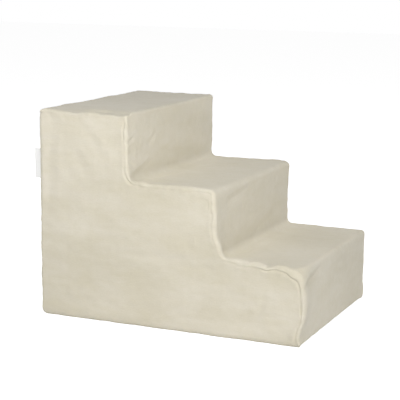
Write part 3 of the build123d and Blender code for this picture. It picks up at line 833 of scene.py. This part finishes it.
def larger(nodes, links, first, second):
    """The larger of two sockets' values."""
    both = add_node(nodes, "Math")
    both.operation = "MAXIMUM"
    links.new(first, both.inputs[0])
    links.new(second, both.inputs[1])
    return both.outputs[0]


def new_group(name, numbers, output, kind):
    """A group of shader nodes with number inputs and one output, and its input node, its output
    node, its nodes and its links."""
    group = bpy.data.node_groups.new(name, "ShaderNodeTree")
    for number in numbers:
        group.interface.new_socket(number, in_out="INPUT", socket_type="NodeSocketFloat")
    group.interface.new_socket(output, in_out="OUTPUT", socket_type=f"NodeSocket{kind}")
    ends = [group.nodes.new(f"NodeGroup{end}") for end in ("Input", "Output")]
    return group, *ends, group.nodes, group.links


def place_group(nodes, group, values):
    """A group placed in a material, with its own values on the group's inputs."""
    node = nodes.new("ShaderNodeGroup")
    node.node_tree = group
    for name, value in values.items():
        node.inputs[name].default_value = value
    return node


def weave_group():
    """Threads over and under one another: crossed waves, whose larger one stands proud."""
    numbers = ("Threads per metre", "Depth")
    group, given, result, nodes, links = new_group("weave", numbers, "Normal", "Vector")
    place, scale = add_node(nodes, "TexCoord"), add_node(nodes, "Math")
    scale.operation = "MULTIPLY"
    scale.inputs[1].default_value = math.pi / 10
    links.new(given.outputs["Threads per metre"], scale.inputs[0])
    top = None
    for axis in ("X", "Y", "Z"):
        wave = add_node(nodes, "TexWave", Distortion=0.3)
        wave.bands_direction = axis
        links.new(scale.outputs[0], wave.inputs["Scale"])
        links.new(place.outputs["Object"], wave.inputs["Vector"])
        top = larger(nodes, links, top, wave.outputs["Fac"]) if top else wave.outputs["Fac"]
    bump = add_node(nodes, "Bump")
    links.new(given.outputs["Depth"], bump.inputs["Distance"])
    links.new(top, bump.inputs["Height"])
    links.new(bump.outputs["Normal"], result.inputs["Normal"])
    return group


weave = weave_group()


def woven_material(name, colour, roughness, pitch, depth):
    """A cloth of one colour with the weave's relief, its thread spacing and its depth."""
    material, shader, nodes, links = new_material(name, colour, roughness)
    cloth = place_group(nodes, weave, {"Threads per metre": 1 / pitch, "Depth": depth})
    links.new(cloth.outputs["Normal"], shader.inputs["Normal"])
    return material


def rimmed(low, high, count):
    """Places from low to high, close together at both ends."""
    near = fine_steps[:6]
    return np.concatenate([low + near, np.linspace(low + 0.02, high - 0.02, count), high - near[::-1]])


def base_piece():
    """A flat closed sheet with its rim drawn up into the seam."""
    along, across = rimmed(base_low[0], base_high[0], 30), rimmed(base_low[1], base_high[1], 22)
    x, y = np.meshgrid(along, across, indexing="ij")
    gap = np.minimum.reduce([x - base_low[0], base_high[0] - x, y - base_low[1], base_high[1] - y])
    outer = joined(x, y, dot_height + base_rim_rise * bell(gap, base_rim_reach))
    inner = outer[:, ::6].copy()
    inner[..., 2] = base_high[2]
    material = woven_material("base_cloth", base_colour, roughness=0.85, pitch=0.0008, depth=0.0002)
    points, faces = closed_panel(outer, inner)
    piece = make_piece("base_cloth", points, faces, material)
    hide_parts("base_panel")


def grip_dots():
    """A low dome of two rings and a top on every place of a staggered pattern."""
    spots = []
    row_pitch = dot_pitch * math.sqrt(3) / 2
    for k, y in enumerate(np.arange(base_low[1] + dot_pitch, base_high[1] - dot_pitch / 2, row_pitch)):
        first = base_low[0] + dot_pitch * (0.75 + 0.5 * (k % 2))
        x = np.arange(first, base_high[0] - dot_pitch / 2, dot_pitch)
        spots.append(joined(x, y, 0))
    spots = np.concatenate(spots)
    angle = np.arange(dot_corners) * 2 * math.pi / dot_corners
    circle = np.stack([np.cos(angle), np.sin(angle)], axis=1)
    shape = np.concatenate([joined(*(dot_radius * share * circle).T, z) for share, z in dot_rings])
    index = np.arange(len(shape)).reshape(len(dot_rings), dot_corners).T
    around = np.vstack([index, index[:1]])
    side = np.concatenate([quads(around[:, level : level + 2]) for level in (0, 1)])
    faces = []
    for first in range(0, len(spots) * len(shape), len(shape)):
        faces.extend((side + first).tolist())
        faces.extend((index[:, end] + first).tolist() for end in (-1, 0))
    material = new_material("grip_dots", dot_colour, roughness=0.55)[0]
    make_piece("grip_dots", spots[:, None] + shape, faces, material)


base_piece()
grip_dots()


# Label: a bare woven ribbon, folded once with both ends caught in the left back seam.
label_low, label_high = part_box("label_tag")
label_layer, label_gap = 0.00045, 0.00028
label_curl, label_waves, label_phase = 0.0008, 5.0, 0.6
label_colour = (0.92, 0.92, 0.91)


def label_piece():
    """A hairpin path, two layers and a round fold, carried up the label with a slight curl."""
    root, tip = label_high[0], label_low[0]
    middle_y = (label_low[1] + label_high[1]) / 2
    turn = np.linspace(-math.pi / 2, math.pi / 2, 9)
    run = np.linspace(0, 1, 12)[:, None]
    outer_radius = label_gap + label_layer
    lines = []
    for radius in (outer_radius, label_gap):
        arc_x = tip + outer_radius - radius * np.cos(turn)
        arc = np.stack([arc_x, middle_y + radius * np.sin(turn)], axis=1)
        start = np.array([[root, middle_y - radius]])
        leg = start + run * (arc[0] - start)
        back_leg = leg * [1, -1] + [0, 2 * middle_y]
        lines.append(np.concatenate([leg[:-1], arc, back_leg[:-1][::-1]]))
    flat = np.concatenate([lines[0], lines[1][::-1]])
    heights = np.linspace(label_low[2], label_high[2], 30)[:, None]
    rise = (heights - label_low[2]) / (label_high[2] - label_low[2])
    reach = np.clip((root - flat[:, 0]) / (root - tip), 0, 1)
    curl = label_curl * np.sin(label_waves * rise + label_phase) * reach**2
    points = joined(flat[:, 0], flat[:, 1] + curl, heights)
    material = woven_material("woven_ribbon", label_colour, roughness=0.7, pitch=0.0004, depth=0.0001)
    index = numbered(points)
    first, second = np.split(index, 2, axis=1)
    ends = [quads(np.stack([first[row], second[row, ::-1]], axis=1)) for row in (0, -1)]
    faces = np.concatenate([quads(index), quads(index[:, [-1, 0]]), *ends])
    piece = make_piece("bare_label", points, faces, material)
    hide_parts("label_tag")


label_piece()


# Zip tapes: ribbed woven tapes with a thicker edge cord, sewn behind the slit's folded edges.
tape_colour = (0.60, 0.555, 0.455)
tape_rib_height, tape_rib_middle, tape_rib_pitch = 0.00004, 0.00005, 0.0014


def tape_piece(node):
    """A thin closed strip, whose faces carry lengthwise ribs."""
    low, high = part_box(node)
    y, z = (np.linspace(low[k], high[k], count) for k, count in ((1, 140), (2, 22)))
    y, z = np.meshgrid(y, z, indexing="ij")
    rib = tape_rib_height * np.cos((z - low[2]) / tape_rib_pitch * 2 * math.pi)
    outer = joined(low[0] + tape_rib_middle + rib, y, z)
    inner = joined(high[0], y, z)[:, ::7]
    material = woven_material(f"{node}_weave", tape_colour, roughness=0.8, pitch=0.0007, depth=0.00015)
    points, faces = closed_panel(outer, inner)
    piece = make_piece(f"{node}_weave", points, faces, material)
    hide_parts(node)


tape_piece("zip_tape_upper")
tape_piece("zip_tape_lower")


# Zip teeth and stops: moulded acetal, a little shinier and paler than the tape.
teeth_colour = (0.66, 0.615, 0.51)


def gloss_group():
    """Blotches and grain that make a surface rougher in some places than in others."""
    numbers = ("Scale", "Detail", "Smoothest", "Roughest")
    group, given, result, nodes, links = new_group("gloss_grain", numbers, "Roughness", "Float")
    place, noise, spread = (add_node(nodes, kind) for kind in ("TexCoord", "TexNoise", "MapRange"))
    links.new(place.outputs["Object"], noise.inputs["Vector"])
    sockets = [noise.inputs[name] for name in ("Scale", "Detail")]
    sockets += [spread.inputs[name] for name in ("To Min", "To Max")]
    for number, socket in zip(numbers, sockets):
        links.new(given.outputs[number], socket)
    links.new(noise.outputs["Fac"], spread.inputs["Value"])
    links.new(spread.outputs["Result"], result.inputs["Roughness"])
    return group


gloss_grain = gloss_group()


def grained_material(name, colour, metallic, grain_values):
    """A material of one colour whose gloss varies by the grain."""
    roughness = (grain_values["Smoothest"] + grain_values["Roughest"]) / 2
    material, shader, nodes, links = new_material(name, colour, roughness)
    shader.inputs["Metallic"].default_value = metallic
    grain = place_group(nodes, gloss_grain, grain_values)
    links.new(grain.outputs["Roughness"], shader.inputs["Roughness"])
    return material


def dress(nodes, material):
    """Gives CAD nodes that stay as they are a material of their own."""
    for node in nodes:
        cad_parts[node].data.materials.clear()
        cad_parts[node].data.materials.append(material)


acetal_grain = {"Scale": 700, "Detail": 2, "Smoothest": 0.30, "Roughest": 0.48}
acetal = grained_material("moulded_acetal", teeth_colour, 0.0, acetal_grain)
dress(("zip_teeth_upper", "zip_teeth_lower", "zip_top_stops", "zip_bottom_stop"), acetal)


# Slider and pull tab: die-cast zinc with dull nickel plating, worn brighter by handling.
nickel_colour = (0.60, 0.58, 0.54)
nickel_grain = {"Scale": 900, "Detail": 4, "Smoothest": 0.26, "Roughest": 0.50}
nickel = grained_material("dull_nickel", nickel_colour, 1.0, nickel_grain)
dress(("zip_slider_body", "zip_pull_tab"), nickel)


# Studio: a white floor and white all round, brighter near the horizon than overhead, a large
# soft lamp above the camera, a weaker one before the steps and a low one behind them.
floor_size, floor_colour, floor_glow = 12, (0.90, 0.90, 0.90, 1), 0.78
horizon_light, overhead_light = 0.60, 0.03
studio_middle = np.array([0, 0, 0.2])


def seen_directly(nodes, links):
    """1 for rays that the camera sees, in metal and through glass too, and 0 for those that light."""
    path = add_node(nodes, "LightPath")
    total = path.outputs["Is Camera Ray"]
    for ray in ("Is Glossy Ray", "Is Transmission Ray"):
        total = larger(nodes, links, total, path.outputs[ray])
    return total


def studio_floor():
    """A pale floor. To the camera and in reflections a glow makes it white, less where the
    object's shadow falls."""
    mesh = bpy.data.meshes.new("studio_floor")
    corners = [(x * floor_size, y * floor_size, 0) for x, y in ((-1, -1), (1, -1), (1, 1), (-1, 1))]
    mesh.from_pydata(corners, [], [(0, 1, 2, 3)])
    floor = bpy.data.objects.new("studio_floor", mesh)
    bpy.context.scene.collection.objects.link(floor)
    material = bpy.data.materials.new("studio_white")
    material.use_nodes = True
    nodes, links = material.node_tree.nodes, material.node_tree.links
    nodes.remove(nodes["Principled BSDF"])
    paint = add_node(nodes, "BsdfDiffuse", Color=floor_colour)
    shown = add_node(nodes, "BsdfDiffuse", Color=floor_colour)
    glow = add_node(nodes, "Emission", Strength=floor_glow)
    both, either = add_node(nodes, "AddShader"), add_node(nodes, "MixShader")
    links.new(shown.outputs["BSDF"], both.inputs[0])
    links.new(glow.outputs["Emission"], both.inputs[1])
    links.new(seen_directly(nodes, links), either.inputs["Fac"])
    links.new(paint.outputs["BSDF"], either.inputs[1])
    links.new(both.outputs["Shader"], either.inputs[2])
    links.new(either.outputs["Shader"], nodes["Material Output"].inputs["Surface"])
    mesh.materials.append(material)


def studio_world():
    """Light from all round, that weakens from the horizon up, behind a background of plain white."""
    world = bpy.data.worlds.new("studio")
    bpy.context.scene.world = world
    world.use_nodes = True
    nodes, links = world.node_tree.nodes, world.node_tree.links
    sky, bright = nodes["Background"], add_node(nodes, "Background", Color=(1, 1, 1, 1))
    sky.inputs["Color"].default_value = (1, 1, 1, 1)
    way, part, either = (add_node(nodes, kind) for kind in ("TexCoord", "SeparateXYZ", "MixShader"))
    level = add_node(nodes, "MapRange", **{"To Min": horizon_light, "To Max": overhead_light})
    links.new(way.outputs["Generated"], part.inputs["Vector"])
    links.new(part.outputs["Z"], level.inputs["Value"])
    links.new(level.outputs["Result"], sky.inputs["Strength"])
    links.new(seen_directly(nodes, links), either.inputs["Fac"])
    links.new(sky.outputs["Background"], either.inputs[1])
    links.new(bright.outputs["Background"], either.inputs[2])
    links.new(either.outputs["Shader"], nodes["World Output"].inputs["Surface"])


def sideways(back):
    """The level unit direction to the right of one who looks against a direction."""
    right = np.cross((0, 0, 1), back)
    return right / np.linalg.norm(right)


def area_lamp(name, place, size, power):
    """A square lamp at a place, turned to shine on the target."""
    lamp = bpy.data.lights.new(name, "AREA")
    lamp.size = size
    lamp.energy = power
    holder = bpy.data.objects.new(name, lamp)
    back = np.array(place) - studio_middle
    back /= np.linalg.norm(back)
    right = sideways(back)
    turn = np.column_stack([right, np.cross(back, right), back])
    holder.matrix_world = Matrix.Translation(place) @ Matrix(turn.tolist()).to_4x4()
    bpy.context.scene.collection.objects.link(holder)


studio_floor()
studio_world()
area_lamp("key_lamp", (1.0, -2.4, 2.2), size=1.8, power=71)
area_lamp("front_lamp", (2.8, -0.9, 0.8), size=1.8, power=11)
area_lamp("back_lamp", (-2.2, 1.7, 0.22), size=0.44, power=36)

# Camera: the photograph's eye, worked out from the corners of the stairs' silhouette.
azimuth, elevation, roll = math.radians(23.58), math.radians(10.51), math.radians(0.64)
eye_distance, aim_right, aim_up = 2.8168, -0.01805, 0.04238
focal_pixels, frame_pixels, sensor = 1259.5, 400, 36
level_back = math.cos(elevation) * np.array([math.sin(azimuth), -math.cos(azimuth)])
back = np.array([*level_back, math.sin(elevation)])
right = sideways(back)
up = np.cross(back, right)
camera_right = math.cos(roll) * right + math.sin(roll) * up
camera_up = math.cos(roll) * up - math.sin(roll) * right
eye = back * eye_distance + right * aim_right + up * aim_up + studio_middle
camera_data = bpy.data.cameras.new("photo_camera")
camera_data.sensor_width = sensor
camera_data.lens = focal_pixels / frame_pixels * sensor
camera = bpy.data.objects.new("photo_camera", camera_data)
camera_turn = Matrix(np.column_stack([camera_right, camera_up, back]).tolist()).to_4x4()
camera.matrix_world = Matrix.Translation(eye) @ camera_turn
bpy.context.scene.collection.objects.link(camera)
bpy.context.scene.camera = camera
bpy.context.scene.view_settings.view_transform = "Standard"
